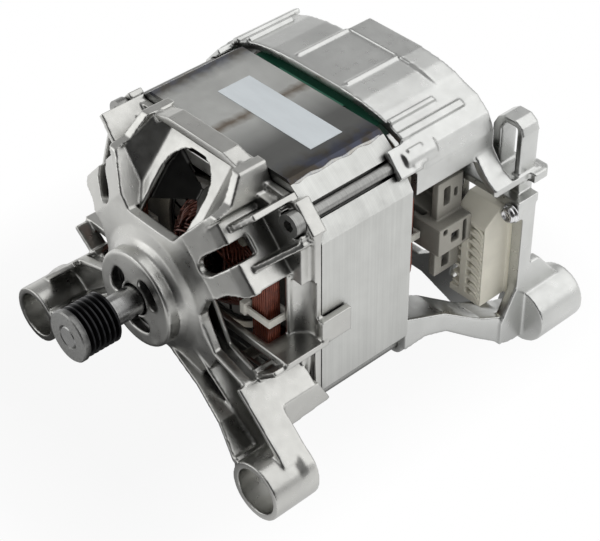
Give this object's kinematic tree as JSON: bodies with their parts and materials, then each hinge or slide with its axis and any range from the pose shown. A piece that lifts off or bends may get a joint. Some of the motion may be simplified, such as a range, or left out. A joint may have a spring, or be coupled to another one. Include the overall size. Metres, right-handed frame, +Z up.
{
  "type": "washing machine motor",
  "caption": "Universal belt-drive motor with cast end shields, laminated stator, grooved shaft pulley, bracket with terminal block and tubular mounting feet.",
  "frame": {"origin": "centre of the pulley's outer face, on the shaft axis", "axes": "+Y along the shaft from the pulley to the rear, +X right seen from the pulley, +Z up, feet down"},
  "size_m": [0.1626, 0.2015, 0.1233],
  "materials": {
    "cast_alu": "satin die cast",
    "stack_steel": "stamped laminations",
    "cream_plastic": "matte",
    "green_plastic": "satin",
    "copper_dark": "varnished copper",
    "copper_wire": "enamelled copper wire",
    "white_nylon": "satin",
    "zinc_steel": "zinc plated",
    "tin_brass": "tinned",
    "bright_screw": "bright plated",
    "grey_plastic": "matte",
    "spring_steel": "plain",
    "carbon": "pressed carbon",
    "bearing_steel": "ground",
    "black_plastic": "matte",
    "label_paper": "satin film",
    "shaft_steel": "turned",
    "pulley_black": "black oxide",
    "armature_steel": "stamped laminations",
    "commutator_copper": "turned copper",
    "magnet_dark": "bonded magnet"
  },
  "bodies": {
    "stator": {"front_shield": "cast_alu", "front_foot_left": "cast_alu", "front_foot_right": "cast_alu", "rear_shield": "cast_alu", "rear_foot_left": "cast_alu", "rear_foot_right": "cast_alu", "stator_stack": "stack_steel", "front_insulator": "cream_plastic", "rear_insulator": "green_plastic", "field_coil_left": "copper_dark", "field_coil_right": "copper_dark", "field_winding_left": "copper_wire", "field_winding_right": "copper_wire", "cable_ties": "white_nylon", "long_screws": "zinc_steel", "terminal_block": "cream_plastic", "terminal_pins": "tin_brass", "earth_screw": "bright_screw", "brush_holder_left": "grey_plastic", "brush_holder_right": "grey_plastic", "brush_holder_screws": "zinc_steel", "brush_spring_left": "spring_steel", "brush_spring_right": "spring_steel", "front_bearing_outer": "bearing_steel", "wave_washer": "spring_steel", "rear_bearing_outer": "bearing_steel", "tacho_coil": "black_plastic", "tacho_cap": "black_plastic", "blank_label": "label_paper"},
    "rotor": {"shaft": "shaft_steel", "pulley": "pulley_black", "armature_core": "armature_steel", "armature_winding": "copper_dark", "commutator": "commutator_copper", "tacho_magnet": "magnet_dark", "front_bearing_inner": "bearing_steel", "rear_bearing_inner": "bearing_steel"},
    "front_cage": {"front_bearing_cage": "bearing_steel"},
    "rear_cage": {"rear_bearing_cage": "bearing_steel"},
    "brush_left": {"carbon_brush_left": "carbon"},
    "brush_right": {"carbon_brush_right": "carbon"}
  },
  "joints": [
    {"name": "rotor_spin", "type": "hinge", "parent": "stator", "child": "rotor", "pos_m": [0, 0, 0], "axis": [0, 1, 0], "continuous": true},
    {"name": "front_cage_spin", "type": "hinge", "parent": "stator", "child": "front_cage", "pos_m": [0, 0.0418, 0], "axis": [0, 1, 0], "continuous": true},
    {"name": "rear_cage_spin", "type": "hinge", "parent": "stator", "child": "rear_cage", "pos_m": [0, 0.163, 0], "axis": [0, 1, 0], "continuous": true},
    {"name": "brush_right_slide", "type": "slide", "parent": "stator", "child": "brush_right", "axis": [1, 0, 0], "range_m": [0, 0.006], "stiffness_N_per_m": 300, "springref_m": -0.01, "deforming": ["brush_spring_right"]},
    {"name": "brush_left_slide", "type": "slide", "parent": "stator", "child": "brush_left", "axis": [-1, 0, 0], "range_m": [0, 0.006], "stiffness_N_per_m": 300, "springref_m": -0.01, "deforming": ["brush_spring_left"]}
  ],
  "couplings": [
    {"joint": "front_cage_spin", "follows": "rotor_spin", "ratio": 0.368},
    {"joint": "rear_cage_spin", "follows": "rotor_spin", "ratio": 0.371}
  ]
}
